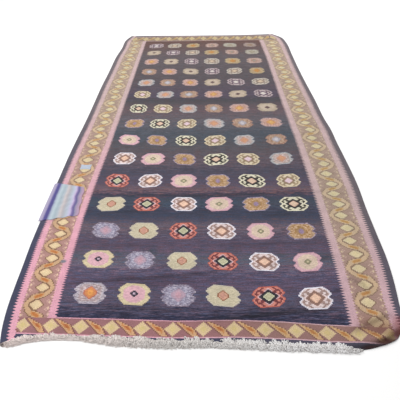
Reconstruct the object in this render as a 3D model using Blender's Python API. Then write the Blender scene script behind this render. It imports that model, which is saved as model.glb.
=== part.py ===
"""A long flat-woven kilim, lying open on a level surface.

Metres, +Z up. X runs across the cloth and Y along it, with the fringed end at -Y.
The tables below are measured on the cloth from the middle of its field (x) and from
the centre of the first row of medallions (y), and the finished rug is then centred
on the origin, with its underside at z = 0.
"""

import bmesh
import bpy
import numpy as np
from mathutils import Matrix

# Driving dimensions
CLOTH_THICK = 0.003
PIECE_GAP = 0.0003
EDGE_SLACK = 0.0001
COLUMNS = 32
ROWS = 84
FOLD_FLOOR = 0.0004
CORNER_ROLL = 0.005
CORNER_ROLL_WIDTH = 0.055

# The outline, from the near left corner round each side: x, y
LEFT_EDGE = (
    (-0.770, -0.250), (-0.786, -0.170), (-0.803, -0.085), (-0.821, 0.200),
    (-0.812, 0.480), (-0.814, 0.850), (-0.826, 1.250), (-0.827, 2.050),
    (-0.815, 2.600), (-0.804, 2.900), (-0.789, 3.120), (-0.782, 3.400),
    (-0.747, 3.516),
)
RIGHT_EDGE = (
    (0.700, -0.238), (0.757, -0.213), (0.792, -0.150), (0.815, -0.045),
    (0.848, 0.194), (0.856, 0.379), (0.859, 0.581), (0.872, 0.783),
    (0.873, 1.096), (0.876, 1.450), (0.838, 1.716), (0.831, 2.397),
    (0.828, 2.933), (0.829, 3.325), (0.811, 3.466), (0.732, 3.590),
)
NEAR_EDGE = (
    (-0.770, -0.250), (-0.690, -0.228), (-0.600, -0.218), (-0.400, -0.222),
    (-0.200, -0.234), (0.000, -0.241), (0.250, -0.247), (0.500, -0.257),
    (0.600, -0.262), (0.700, -0.238),
)
FAR_EDGE = (
    (-0.747, 3.516), (-0.620, 3.524), (-0.030, 3.535), (0.370, 3.554),
    (0.600, 3.575), (0.732, 3.590),
)

# Low folds left from storage: ends (x, y), height and half-width
FOLDS = (
    ((0.00, -0.150), (0.58, -0.088), 0.0060, 0.030),
    ((-0.60, -0.092), (-0.05, -0.125), 0.0035, 0.034),
    ((-0.36, 0.080), (0.30, 0.108), 0.0040, 0.040),
    ((0.27, 0.303), (0.66, 0.300), 0.0040, 0.036),
    ((-0.56, 0.860), (0.52, 0.872), 0.0030, 0.045),
    ((-0.66, 1.950), (0.70, 1.962), 0.0050, 0.050),
    ((0.62, 1.300), (0.80, 1.640), 0.0060, 0.050),
    ((-0.55, 2.870), (0.50, 2.900), 0.0040, 0.055),
)

# The fringe: where its roots run on the near edge, and how long it is at each x
LOCKS = 118
FRINGE_FROM = -0.764
FRINGE_TO = 0.604
STRIP_DEPTH = 0.005
LOCK_STEPS = 4
LOCK_FILL = 0.66
TIP_SHARE = 0.5
TIP_THICK = 0.0014
FRINGE_LENGTH = (
    (-0.764, 0.030), (-0.670, 0.022), (-0.575, 0.015), (-0.470, 0.016),
    (-0.400, 0.027), (-0.325, 0.037), (-0.140, 0.037), (0.020, 0.024),
    (0.250, 0.031), (0.410, 0.034), (0.604, 0.031),
)

# The larger sewn-on cloth. Its sections run from the lap that hangs over the kilim's
# left edge to its inner side: distance in from that edge, share of the way to the
# inner side, and height of its underside
PATCH_THICK = 0.0015
PATCH_ROWS = 8
PATCH_NEAR_Y = (0.480, 0.524)
PATCH_FAR_Y = (0.812, 0.774)
PATCH_INNER_X = (-0.645, -0.662)
PATCH_SECTIONS = (
    (-0.009, 0.0, 0.0000),
    (-0.004, 0.0, 0.0003),
    (-0.001, 0.0, 0.0035),
    (0.006, 0.0, 0.0033),
    (0.006, 0.5, 0.0033),
    (0.006, 1.0, 0.0033),
)

# The small sewn-on cloth
SMALL_PATCH_CENTRE = (-0.700, 0.985)
SMALL_PATCH_SIZE = (0.066, 0.052)

COLOURS = {
    "kilim_wool": (0.070, 0.062, 0.105),
    "fringe_warp": (0.660, 0.640, 0.580),
    "patch_cotton": (0.350, 0.360, 0.470),
    "small_patch_cotton": (0.300, 0.330, 0.420),
}


def material(name):
    """Woven fibre: rough and not metallic."""
    finish = bpy.data.materials.new(name)
    finish.use_nodes = True
    surface = finish.node_tree.nodes["Principled BSDF"]
    surface.inputs["Base Color"].default_value = (*COLOURS[name], 1.0)
    surface.inputs["Roughness"].default_value = 0.95
    surface.inputs["Metallic"].default_value = 0.0
    return finish


def clear_scene():
    for thing in list(bpy.data.objects):
        bpy.data.objects.remove(thing, do_unlink=True)


def make_object(name, bm, finish, collection):
    bmesh.ops.recalc_face_normals(bm, faces=bm.faces[:])
    mesh = bpy.data.meshes.new(name)
    bm.to_mesh(mesh)
    bm.free()
    mesh.materials.append(material(finish))
    thing = bpy.data.objects.new(name, mesh)
    collection.objects.link(thing)
    return thing


def edge_curve(points, share):
    """A smooth curve through an edge's points, read at shares (0 to 1) of its length."""
    points = np.array(points)
    spans = np.linalg.norm(np.diff(points, axis=0), axis=1)
    knots = np.concatenate([[0.0], np.cumsum(spans)]) / spans.sum()
    slopes = np.gradient(points, knots, axis=0)
    share = np.clip(share, 0.0, 1.0)
    cell = np.clip(np.searchsorted(knots, share, side="right") - 1, 0, len(spans) - 1)
    width = knots[cell + 1] - knots[cell]
    t = ((share - knots[cell]) / width)[..., None]
    width = width[..., None]
    return (
        (2 * t**3 - 3 * t**2 + 1) * points[cell]
        + (t**3 - 2 * t**2 + t) * width * slopes[cell]
        + (3 * t**2 - 2 * t**3) * points[cell + 1]
        + (t**3 - t**2) * width * slopes[cell + 1]
    )


def cloth_place(u, v):
    """Where the point at share u across and v along lies: the four edges blended."""
    u_column, v_column = u[..., None], v[..., None]
    near, far = edge_curve(NEAR_EDGE, u), edge_curve(FAR_EDGE, u)
    left, right = edge_curve(LEFT_EDGE, v), edge_curve(RIGHT_EDGE, v)
    across = (1 - v_column) * near + v_column * far
    along = (1 - u_column) * left + u_column * right
    corners = (
        (1 - u_column) * (1 - v_column) * np.array(NEAR_EDGE[0])
        + u_column * (1 - v_column) * np.array(NEAR_EDGE[-1])
        + (1 - u_column) * v_column * np.array(FAR_EDGE[0])
        + u_column * v_column * np.array(FAR_EDGE[-1])
    )
    return across + along - corners


def from_line(points, start, end):
    """Each point's distance from a line's nearest point, and its share along the line."""
    start, end = np.array(start), np.array(end)
    run = end - start
    share = np.clip(((points - start) @ run) / (run @ run), 0.0, 1.0)
    return np.linalg.norm(points - (start + share[..., None] * run), axis=-1), share


def fold_lift(points):
    """How far the folds lift the cloth: soft ridges that die away at their ends."""
    lift = np.zeros(points.shape[:-1])
    for start, end, height, half_width in FOLDS:
        distance, share = from_line(points, start, end)
        fade = np.sin(np.pi * np.clip(share, 0.04, 0.96)) ** 0.5
        lift = np.maximum(lift, height * fade * np.exp(-((distance / half_width) ** 2)))
    return np.maximum(lift - FOLD_FLOOR, 0.0)


def corner_roll(points):
    """Extra height at the near right corner, where the cloth is turned under itself."""
    distance, _ = from_line(points, (0.610, -0.262), (0.765, -0.205))
    height = CORNER_ROLL * np.exp(-((distance / CORNER_ROLL_WIDTH) ** 2))
    return np.maximum(height - FOLD_FLOOR, 0.0)


def sheet_mesh(columns, rows):
    """A unit grid (0 to 1 each way) with a second layer at z = 1 and walls round its rim."""
    bm = bmesh.new()
    bmesh.ops.create_grid(bm, x_segments=columns, y_segments=rows, size=0.5)
    bmesh.ops.translate(bm, verts=bm.verts, vec=(0.5, 0.5, 0.0))
    over = bmesh.ops.extrude_face_region(bm, geom=bm.faces[:])
    layer = [item for item in over["geom"] if isinstance(item, bmesh.types.BMVert)]
    bmesh.ops.translate(bm, verts=layer, vec=(0.0, 0.0, 1.0))
    return bm


def unit_places(bm):
    """Each vertex's place in the unit mesh, as one array for each axis."""
    return np.array([vert.co[:] for vert in bm.verts]).T


def set_places(bm, places, heights):
    for vert, place, height in zip(bm.verts, places, heights):
        vert.co = (place[0], place[1], height)


def build_cloth(collection):
    bm = sheet_mesh(COLUMNS, ROWS)
    u, v, layer = unit_places(bm)
    places = cloth_place(u, v)
    heights = fold_lift(places) + layer * (CLOTH_THICK + corner_roll(places))
    set_places(bm, places, heights)
    return make_object("kilim_cloth", bm, "kilim_wool", collection)


def near_edge_at(x):
    """The cloth's near edge as built: its point at each x and the level way out of it."""
    curve = edge_curve(NEAR_EDGE, np.linspace(0.0, 1.0, COLUMNS + 1))
    y = np.interp(x, curve[:, 0], curve[:, 1])
    slope = np.interp(x, curve[:, 0], np.gradient(curve[:, 1], curve[:, 0]))
    outward = np.stack([slope, -np.ones_like(slope)], axis=-1)
    outward /= np.linalg.norm(outward, axis=-1, keepdims=True)
    return np.stack([x, y], axis=-1), outward


def lock_length(x):
    """How far a lock reaches: the fringe's worn outline, and a little of each lock's own."""
    named = np.array(FRINGE_LENGTH)
    return np.interp(x, named[:, 0], named[:, 1]) * (0.93 + 0.07 * np.sin(311.0 * x))


def lock_sway(x):
    """How far a lock's tip is combed sideways, with its neighbours combed nearly alike."""
    return 0.008 * np.sin(20.3 * x + 0.7) + 0.003 * np.sin(71.0 * x)


def build_fringe(collection):
    """A narrow strip along the near edge. Every second cell of its front is drawn out
    into a tapered lock that lies level on the floor."""
    cells = 2 * LOCKS + 1
    bm = sheet_mesh(cells, 1)
    bm.faces.ensure_lookup_table()
    fronts = []
    for face in bm.faces:
        centre = face.calc_center_median()
        if centre.y < 0.01 and int(centre.x * cells) % 2:
            fronts.append(face)
    for _ in range(LOCK_STEPS):
        fronts = bmesh.ops.extrude_discrete_faces(bm, faces=fronts)["faces"]
        ends = {vert for face in fronts for vert in face.verts}
        bmesh.ops.translate(bm, verts=list(ends), vec=(0.0, -1.0, 0.0))

    unit_x, unit_y, layer = unit_places(bm)
    edge = np.round(unit_x * cells)
    side = np.where(edge % 2, -1.0, 1.0)
    pitch = (FRINGE_TO - FRINGE_FROM) / LOCKS
    lock = np.clip((edge - 1) // 2, 0, LOCKS - 1)
    middle = FRINGE_FROM + (lock + 0.5) * pitch
    strip_x = middle + side * LOCK_FILL * pitch / 2
    strip_x = np.where(edge == 0, FRINGE_FROM, np.where(edge == cells, FRINGE_TO, strip_x))

    drawn = np.round(np.maximum(-unit_y, 0.0)) / LOCK_STEPS
    root, outward = near_edge_at(np.where(drawn > 0, middle, strip_x))
    depth = PIECE_GAP + EDGE_SLACK + np.where(unit_y > 0.5, 0.0, STRIP_DEPTH)
    reach = depth + drawn * lock_length(middle)
    half_width = side * LOCK_FILL * pitch / 2 * (1 - (1 - TIP_SHARE) * drawn)
    aside = np.where(drawn > 0, half_width, 0.0) + lock_sway(middle) * drawn**1.5
    sideways = np.stack([-outward[:, 1], outward[:, 0]], axis=-1)
    places = root + outward * reach[:, None] + sideways * aside[:, None]
    heights = layer * (CLOTH_THICK + (TIP_THICK - CLOTH_THICK) * drawn)
    set_places(bm, places, heights)
    return make_object("near_fringe", bm, "fringe_warp", collection)


def build_repair_patch(collection):
    """A cloth sewn over the left selvedge: it lies on the kilim and laps its edge."""
    bm = sheet_mesh(len(PATCH_SECTIONS) - 1, PATCH_ROWS)
    u, v, layer = unit_places(bm)
    section = np.round(u * (len(PATCH_SECTIONS) - 1)).astype(int)
    inward, inner_share, base = np.array(PATCH_SECTIONS)[section].T
    inner_x = PATCH_INNER_X[0] + (PATCH_INNER_X[1] - PATCH_INNER_X[0]) * v
    edge = edge_curve(LEFT_EDGE, np.linspace(0.0, 1.0, ROWS + 1))
    near_y = PATCH_NEAR_Y[0] + (PATCH_NEAR_Y[1] - PATCH_NEAR_Y[0]) * inner_share
    far_y = PATCH_FAR_Y[0] + (PATCH_FAR_Y[1] - PATCH_FAR_Y[0]) * inner_share
    y = near_y + (far_y - near_y) * v
    edge_x = np.interp(y, edge[:, 1], edge[:, 0])
    x = edge_x + inward + inner_share * (inner_x - edge_x - inward)
    set_places(bm, np.stack([x, y], axis=-1), base + layer * PATCH_THICK)
    return make_object("repair_patch", bm, "patch_cotton", collection)


def build_small_patch(collection):
    """The little patch: a square of cloth with slightly drawn-in sides."""
    bm = sheet_mesh(4, 4)
    u, v, layer = unit_places(bm)
    across, along = u - 0.5, v - 0.5
    x = SMALL_PATCH_CENTRE[0] + SMALL_PATCH_SIZE[0] * across * (0.9 + 0.4 * along**2)
    y = SMALL_PATCH_CENTRE[1] + SMALL_PATCH_SIZE[1] * along * (0.9 + 0.4 * across**2)
    heights = CLOTH_THICK + PIECE_GAP + layer * PATCH_THICK
    set_places(bm, np.stack([x, y], axis=-1), heights)
    return make_object("small_patch", bm, "small_patch_cotton", collection)


def centre_on_origin(things):
    """Moves every mesh so that the middle of the rug's box is at x = 0 and y = 0."""
    corners = np.array([vert.co[:] for thing in things for vert in thing.data.vertices])
    middle = (corners.min(axis=0) + corners.max(axis=0)) / 2
    for thing in things:
        thing.data.transform(Matrix.Translation((-middle[0], -middle[1], 0.0)))


def main():
    clear_scene()
    collection = bpy.data.collections.new("kilim")
    bpy.context.scene.collection.children.link(collection)
    centre_on_origin(
        [
            build_cloth(collection),
            build_fringe(collection),
            build_repair_patch(collection),
            build_small_patch(collection),
        ]
    )


main()
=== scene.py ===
import math

import bpy
import numpy as np
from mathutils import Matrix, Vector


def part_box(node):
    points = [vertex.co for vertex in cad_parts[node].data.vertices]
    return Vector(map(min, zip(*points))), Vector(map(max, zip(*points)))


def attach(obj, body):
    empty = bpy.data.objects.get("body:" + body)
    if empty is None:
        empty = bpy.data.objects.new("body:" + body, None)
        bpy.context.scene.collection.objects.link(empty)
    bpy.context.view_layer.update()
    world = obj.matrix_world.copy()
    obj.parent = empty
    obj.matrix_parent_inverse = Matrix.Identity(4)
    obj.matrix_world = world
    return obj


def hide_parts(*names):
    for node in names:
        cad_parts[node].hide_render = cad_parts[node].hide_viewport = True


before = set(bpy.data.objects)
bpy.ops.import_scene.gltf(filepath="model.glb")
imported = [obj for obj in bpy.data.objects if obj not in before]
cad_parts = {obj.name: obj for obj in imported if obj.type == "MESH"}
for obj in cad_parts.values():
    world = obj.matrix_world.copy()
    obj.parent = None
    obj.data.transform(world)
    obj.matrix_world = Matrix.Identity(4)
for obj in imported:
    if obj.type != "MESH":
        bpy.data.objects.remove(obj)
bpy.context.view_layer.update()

# The rug's plan
# A kilim is never quite square: its sides wander, its ends run askew and its corners are
# drawn in. The tables are measured on the cloth, in metres, from the middle of its field
# (x) and from the first row of medallions (y), and plan_shift moves them to the frame.
CLOTH_THICK = 0.003
PLAN_LOW = (-0.8298, -0.2628)  # where the plan's own axes put the cloth's low corner
LEFT_EDGE = (
    (-0.770, -0.250), (-0.788, -0.170), (-0.800, -0.085), (-0.808, 0.030),
    (-0.814, 0.160), (-0.821, 0.290), (-0.826, 0.480), (-0.829, 0.850),
    (-0.832, 1.100), (-0.830, 1.300), (-0.824, 1.600), (-0.823, 1.830),
    (-0.824, 2.050), (-0.815, 2.600), (-0.811, 2.900), (-0.794, 3.120),
    (-0.782, 3.400), (-0.747, 3.516),
)
RIGHT_EDGE = (
    (0.690, -0.254), (0.742, -0.228), (0.786, -0.165), (0.811, -0.045),
    (0.844, 0.194), (0.851, 0.379), (0.859, 0.581), (0.872, 0.783),
    (0.873, 1.096), (0.870, 1.300), (0.871, 1.450), (0.861, 1.620),
    (0.858, 1.780), (0.857, 1.950), (0.850, 2.200), (0.845, 2.420),
    (0.842, 2.660), (0.842, 2.930), (0.838, 3.325), (0.816, 3.466),
    (0.732, 3.590),
)
NEAR_EDGE = (
    (-0.770, -0.250), (-0.690, -0.228), (-0.600, -0.218), (-0.400, -0.224),
    (-0.200, -0.236), (0.000, -0.244), (0.250, -0.255), (0.500, -0.267),
    (0.600, -0.275), (0.690, -0.254),
)
FAR_EDGE = (
    (-0.747, 3.516), (-0.620, 3.524), (-0.030, 3.535), (0.370, 3.554),
    (0.600, 3.575), (0.732, 3.590),
)


def edge_curve(points, share):
    """A smooth curve through an edge's points (cubic Hermite), at shares of its length."""
    points = np.array(points)
    spans = np.linalg.norm(np.diff(points, axis=0), axis=1)
    knots = np.concatenate([[0.0], np.cumsum(spans)]) / spans.sum()
    slopes = np.gradient(points, knots, axis=0)
    cell = np.clip(np.searchsorted(knots, share, side="right") - 1, 0, len(spans) - 1)
    width = (knots[cell + 1] - knots[cell])[..., None]
    t = (share - knots[cell])[..., None] / width
    return (
        (2 * t**3 - 3 * t**2 + 1) * points[cell]
        + (t**3 - 2 * t**2 + t) * width * slopes[cell]
        + (3 * t**2 - 2 * t**3) * points[cell + 1]
        + (t**3 - t**2) * width * slopes[cell + 1]
    )


cloth_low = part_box("kilim_cloth")[0]
plan_shift = np.array([cloth_low[0] - PLAN_LOW[0], cloth_low[1] - PLAN_LOW[1], 0.0])

# The cloth's shape
# One flat-woven web of packed wool weft on hard warps, 3 mm thick. It lies flat but for
# low folds left from storage, slack selvedges and the near right corner, which is turned
# under itself and so stands up in a soft roll.
ACROSS, ALONG = 120, 340
EDGE_CROWDING = 0.6
FOLD_FLOOR = 0.0004
CORNER_LINE = ((0.600, -0.275), (0.760, -0.212))
CORNER_ROLL, CORNER_WIDTH = 0.005, 0.055
CORNER_DROP, CORNER_DROP_WIDTH = 0.0052, 0.010
# Each fold: its two ends (x, y), its height and its half-width
FOLDS = (
    ((0.00, -0.150), (0.58, -0.088), 0.0060, 0.030),
    ((-0.60, -0.092), (-0.05, -0.125), 0.0035, 0.034),
    ((-0.36, 0.080), (0.30, 0.108), 0.0040, 0.040),
    ((0.27, 0.303), (0.66, 0.300), 0.0040, 0.036),
    ((-0.56, 0.860), (0.52, 0.872), 0.0030, 0.045),
    ((-0.66, 1.950), (0.70, 1.962), 0.0050, 0.050),
    ((0.62, 1.300), (0.80, 1.640), 0.0060, 0.050),
    ((-0.55, 2.870), (0.50, 2.900), 0.0040, 0.055),
)

# Each crease: its points (x, y), its half-width and its depth from 0 to 1. A crease lifts the cloth a little
# beside its line, and the wool's colour is darkened along it as painted shade. Those along the near edge of
# the turned corner paint the shade under its roll.
CREASES = (
    (((-0.02, -0.146), (0.169, -0.124), (0.353, -0.102), (0.58, -0.084)), 0.013, 1.15),
    (((0.02, -0.118), (0.300, -0.086), (0.56, -0.064)), 0.034, 0.38),
    (((-0.611, 0.055), (-0.232, 0.084), (-0.057, 0.105), (0.166, 0.144)), 0.011, 0.9),
    (((-0.50, 0.036), (-0.232, 0.058), (0.120, 0.118)), 0.03, 0.3),
    (((-0.527, -0.066), (-0.299, -0.081), (-0.053, -0.092)), 0.015, 0.6),
    (((-0.24, 0.16), (0.009, 0.151)), 0.009, 0.5),
    (((0.266, 0.157), (0.350, 0.170)), 0.013, 0.75),
    (((0.442, 0.182), (0.613, 0.228)), 0.013, 0.75),
    (((0.530, 0.006), (0.607, 0.021)), 0.013, 0.8),
    (((-0.631, 0.706), (-0.016, 0.694), (0.659, 0.734)), 0.013, 0.75),
    (((-0.487, 0.56), (-0.292, 0.552)), 0.012, 0.6),
    (((-0.026, 0.56), (0.079, 0.568)), 0.012, 0.5),
    (((0.305, 0.523), (0.462, 0.539)), 0.016, 0.5),
    (((0.01, 0.296), (0.609, 0.317)), 0.012, 0.45),
    (((-0.537, 0.289), (-0.205, 0.303)), 0.014, 0.35),
    (((0.624, 0.09), (0.689, 0.055), (0.702, 0.009)), 0.01, 0.6),
    (((0.571, -0.199), (0.672, -0.150), (0.765, -0.107)), 0.013, 0.85),
    (((0.500, -0.268), (0.610, -0.270), (0.690, -0.250), (0.742, -0.224), (0.800, -0.165)), 0.017, 1.25),
    (((-0.005, 0.10), (-0.010, 1.00), (-0.016, 2.00), (-0.022, 3.30)), 0.008, 0.2),
    (((0.600, -0.279), (0.680, -0.247), (0.775, -0.196)), 0.015, 1.15),
)
CREASE_RISE = 0.0022


def cloth_plan(u, v):
    """The four edges blended (a Coons patch): u runs across the rug and v along it."""
    near, far = edge_curve(NEAR_EDGE, u), edge_curve(FAR_EDGE, u)
    left, right = edge_curve(LEFT_EDGE, v), edge_curve(RIGHT_EDGE, v)
    u, v = u[..., None], v[..., None]
    corners = (
        (1 - u) * (1 - v) * np.array(NEAR_EDGE[0]) + u * (1 - v) * np.array(NEAR_EDGE[-1])
        + (1 - u) * v * np.array(FAR_EDGE[0]) + u * v * np.array(FAR_EDGE[-1])
    )
    return (1 - v) * near + v * far + (1 - u) * left + u * right - corners


def from_line(plan, start, end):
    """Each point's distance from a line, and its share of the way along that line."""
    start, run = np.array(start), np.array(end) - np.array(start)
    share = np.clip(((plan - start) @ run) / (run @ run), 0.0, 1.0)
    return np.linalg.norm(plan - (start + share[..., None] * run), axis=-1), share


def cloth_lift(plan):
    """Height of the underside: the tallest of the folds, each a bell across its line
    that dies away at both ends."""
    lift = np.zeros(plan.shape[:-1])
    for start, end, height, half_width in FOLDS:
        distance, share = from_line(plan, start, end)
        fade = np.sin(np.pi * np.clip(share, 0.04, 0.96)) ** 0.5
        lift = np.maximum(lift, height * fade * np.exp(-((distance / half_width) ** 2)))
    distance, _ = from_line(plan, *CORNER_LINE)
    roll = CORNER_ROLL * np.exp(-((distance / CORNER_WIDTH) ** 2))
    drop = CORNER_DROP * np.exp(-((distance / CORNER_DROP_WIDTH) ** 2))
    slack = 0.0006 * (1 + np.sin(9.0 * plan[..., 0] + 4.0 * plan[..., 1]))
    slack = slack * (0.5 + 0.5 * np.sin(13.0 * plan[..., 1] - 5.0 * plan[..., 0]))
    lift = np.maximum(lift - FOLD_FLOOR, 0.0) + np.maximum(roll - FOLD_FLOOR, 0.0)
    return np.maximum(lift - drop, 0.0) + slack


def crease_depth(plan, aside=0.0):
    """How deep in a crease each point is, from 0 to 1: a bell across each crease's line
    that dies away at its ends. The line may be moved aside along the rug."""
    depth = np.zeros(plan.shape[:-1])
    for points, half_width, full in CREASES:
        points = np.array(points) + (0.0, aside * half_width)
        lengths = np.linalg.norm(np.diff(points, axis=0), axis=1)
        done = np.concatenate([[0.0], np.cumsum(lengths)]) / lengths.sum()
        for i in range(len(points) - 1):
            distance, share = from_line(plan, points[i], points[i + 1])
            whole = done[i] + (done[i + 1] - done[i]) * share
            fade = np.sin(np.pi * np.clip(whole, 0.03, 0.97)) ** 0.6
            depth = np.maximum(depth, full * fade * np.exp(-((distance / half_width) ** 2)))
    return depth


def new_piece(name, points, faces, smooth=True):
    """A mesh object at the origin, from an array of points and one of faces."""
    mesh = bpy.data.meshes.new(name)
    mesh.from_pydata(points.reshape(-1, 3).tolist(), [], faces.tolist())
    mesh.polygons.foreach_set("use_smooth", [smooth] * len(mesh.polygons))
    mesh.update()
    piece = bpy.data.objects.new(name, mesh)
    bpy.context.scene.collection.objects.link(piece)
    return piece


def grid_faces(rows, columns):
    """The quads of a grid of points, facing up where columns run +X and rows +Y."""
    first = (np.arange(rows - 1)[:, None] * columns + np.arange(columns - 1)).ravel()
    return np.stack([first, first + 1, first + columns + 1, first + columns], axis=1)


def give_uv(piece, name, uv):
    """A UV map from one pair of values for each point."""
    layer = piece.data.uv_layers.new(name=name)
    corner = np.empty(len(piece.data.loops), dtype=np.int32)
    piece.data.loops.foreach_get("vertex_index", corner)
    layer.data.foreach_set("uv", uv.reshape(-1, 2)[corner].ravel())


def thicken(piece, thickness):
    """Gives a sheet its thickness, downwards from the surface that shows."""
    wall = piece.modifiers.new("thickness", "SOLIDIFY")
    wall.thickness = thickness
    wall.offset = -1.0


def crowded(count):
    """Shares from 0 to 1, closer together near both ends."""
    even = np.linspace(0.0, 1.0, count)
    return even - EDGE_CROWDING * np.sin(2 * np.pi * even) / (2 * np.pi)


across, along = np.meshgrid(crowded(ACROSS + 1), crowded(ALONG + 1))
plan = cloth_plan(across, along)
height = cloth_lift(plan) + CLOTH_THICK + CREASE_RISE * crease_depth(plan, 1.6)
cloth = new_piece(
    "kilim_web",
    np.concatenate([plan, height[..., None]], axis=-1) + plan_shift,
    grid_faces(ALONG + 1, ACROSS + 1),
)
thicken(cloth, CLOTH_THICK)

# The cloth's own measure
# The weaver counts the pattern in warps across and in rows of medallions along. The map
# "weave" holds that count: U is metres from the middle line on an even cloth, V is the
# row of medallions. So the pattern runs straight on the loom and wanders as the cloth does.
FIELD_HALF = 0.597
CLOTH_HALF = 0.820
ROW_PITCH = 0.2307
FIELD_SIDES = (  # y, left side's x, right side's x
    (-0.25, -0.585, 0.580), (-0.12, -0.590, 0.586), (0.10, -0.603, 0.597),
    (0.52, -0.612, 0.609), (0.85, -0.608, 0.611), (1.25, -0.596, 0.611),
    (2.00, -0.588, 0.598), (2.90, -0.580, 0.594), (3.30, -0.577, 0.580),
    (3.60, -0.574, 0.572),
)
ROW_PLACES = (  # y of each row's middle, nearest row first
    -0.011, 0.202, 0.404, 0.625, 0.840, 1.093, 1.327, 1.562,
    1.799, 2.053, 2.289, 2.530, 2.778, 3.019, 3.214,
)
SLANT = (  # y, how much nearer the right-hand warps are, for each metre across
    (-0.25, 0.034), (-0.05, 0.036), (0.00, 0.032), (0.53, 0.000), (1.20, 0.000),
    (1.50, -0.020), (2.80, -0.036), (3.40, -0.042),
)
DRIFT = (  # y, how far the middle warps drift aside, how far the middle wefts sag
    (-0.30, 0.000, 0.000), (0.00, -0.001, 0.000), (0.206, -0.009, 0.012),
    (0.409, -0.007, 0.002), (0.627, 0.000, 0.003), (0.846, 0.008, 0.004),
    (1.09, 0.015, 0.020), (1.33, 0.018, 0.022), (1.56, 0.016, 0.016),
    (1.80, 0.015, 0.016), (2.05, 0.012, 0.016), (2.29, 0.013, 0.010),
    (2.53, 0.011, 0.006), (2.78, 0.009, 0.006), (3.02, 0.004, 0.000),
    (3.30, 0.000, 0.000),
)
NEAR_RISE = (  # x, how far the near border is pushed up by the fold behind it
    (-0.10, 0.000), (0.12, 0.010), (0.33, 0.009), (0.48, 0.003), (0.62, 0.000),
)


def side_at(edge, y):
    curve = edge_curve(edge, np.linspace(0.0, 1.0, 400))
    return np.interp(y, curve[:, 1], curve[:, 0])


def weave_map(plan):
    """U: the share of the way from the field's side to the cloth's, on each half.
    V: the row of medallions, after the slant of the two ends is taken out."""
    x, y = plan[..., 0], plan[..., 1]
    sides = np.array(FIELD_SIDES)
    left, right = np.interp(y, sides[:, 0], sides[:, 1]), np.interp(y, sides[:, 0], sides[:, 2])
    middle, half = (left + right) / 2, (right - left) / 2
    drift = np.array(DRIFT)
    aside, sag = np.interp(y, drift[:, 0], drift[:, 1]), np.interp(y, drift[:, 0], drift[:, 2])
    bow = np.clip(1 - ((x - middle) / half) ** 2, 0.0, 1.0)
    in_field = (x - middle) / half * FIELD_HALF + aside * bow
    border = CLOTH_HALF - FIELD_HALF
    right_edge = np.where(y < -0.04, 0.815 + 0.1 * (y + 0.04), side_at(RIGHT_EDGE, y))
    out_left = -FIELD_HALF - border * (left - x) / (left - side_at(LEFT_EDGE, y))
    out_right = FIELD_HALF + border * (x - right) / (right_edge - right)
    u = np.where(x < left, out_left, np.where(x > right, out_right, in_field))
    slant, rise = np.array(SLANT), np.array(NEAR_RISE)
    straight = y + np.interp(y, slant[:, 0], slant[:, 1]) * x + sag * bow
    pushed = np.interp(x, rise[:, 0], rise[:, 1]) * np.clip(-y / 0.08, 0.0, 1.0)
    straight = straight - pushed
    rows = np.array(ROW_PLACES)
    v = np.interp(straight, rows, np.arange(len(rows)))
    v = v + np.minimum(straight - rows[0], 0.0) / ROW_PITCH
    v = v + np.maximum(straight - rows[-1], 0.0) / ROW_PITCH
    return np.stack([u, v], axis=-1)


give_uv(cloth, "weave", weave_map(plan))
# The crease depth, kept on the cloth for the painted shade along the creases in the wool's colour
crease = cloth.data.attributes.new("crease", "FLOAT", "POINT")
crease.data.foreach_set("value", crease_depth(plan).ravel())

# The cloth's dyes and pattern
# Hand-dyed wool, woven as a slit tapestry: flat areas of colour with stepped edges, no
# gloss. The dark field changes tone from one batch of yarn to the next (abrash). Charts
# are drawn as a weaver's: one letter is one step of about 6 mm.
CELL = 0.0058
COLUMN_PLACES = (-0.477, -0.293, -0.102, 0.087, 0.278, 0.477)
ROWS = 15
ROW_CELL = 0.0278
CHART_LETTERS = ".ebhodcw"
# A quarter of a medallion, from its middle outwards and upwards.
# e edge, b body, h hooks or inner body, o diamond's outline, d diamond, c heart, w accent
PLAIN_CHART = (
    "ccdobbbbbe..",
    "cddobbbbbbe.",
    "cdobbbbbbbbe",
    "dobbbbbbbbbe",
    "obbbbbbbbbe.",
    "bbbbbbbbbbe.",
    "bbbbbbbbbe..",
    "bbbbbbbbe...",
    "bbbbbbbe....",
    "eeeeeee.....",
)
HOOKED_CHART = (
    "cccdooowbe..",
    "ccdooowbhbe.",
    "cdooowbhhhbe",
    "dooohhbbhhbe",
    "ooohhhbbhbe.",
    "oowbhhhhhbe.",
    "owbbbhhhbe..",
    "wbbbhhbbe...",
    "bbbhhbbe....",
    "eeeeeee.....",
)
TARGET_CHART = (
    "cddhhhhhbe..",
    "ddhhhhhhbbe.",
    "dhhhhhhhbbbe",
    "hhhhhhhhbbbe",
    "hhhhhhhbbbe.",
    "hhhhhhbbbbe.",
    "hhhhhbbbbe..",
    "hhhbbbbbe...",
    "bbbbbbbe....",
    "eeeeeee.....",
)
HAZY_CHART = (
    "ccddohhhbe..",
    "ccddohhhbbe.",
    "cddohhhhbbbe",
    "ddohhhhhbbbe",
    "dohhhhhhbbe.",
    "ohhhhhhhbbe.",
    "hhhhhhhbbe..",
    "hhhhhhbbe...",
    "bbbbbbbe....",
    "eeeeeee.....",
)
CHART_BANKS = (PLAIN_CHART + HOOKED_CHART, TARGET_CHART + HAZY_CHART)
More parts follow.
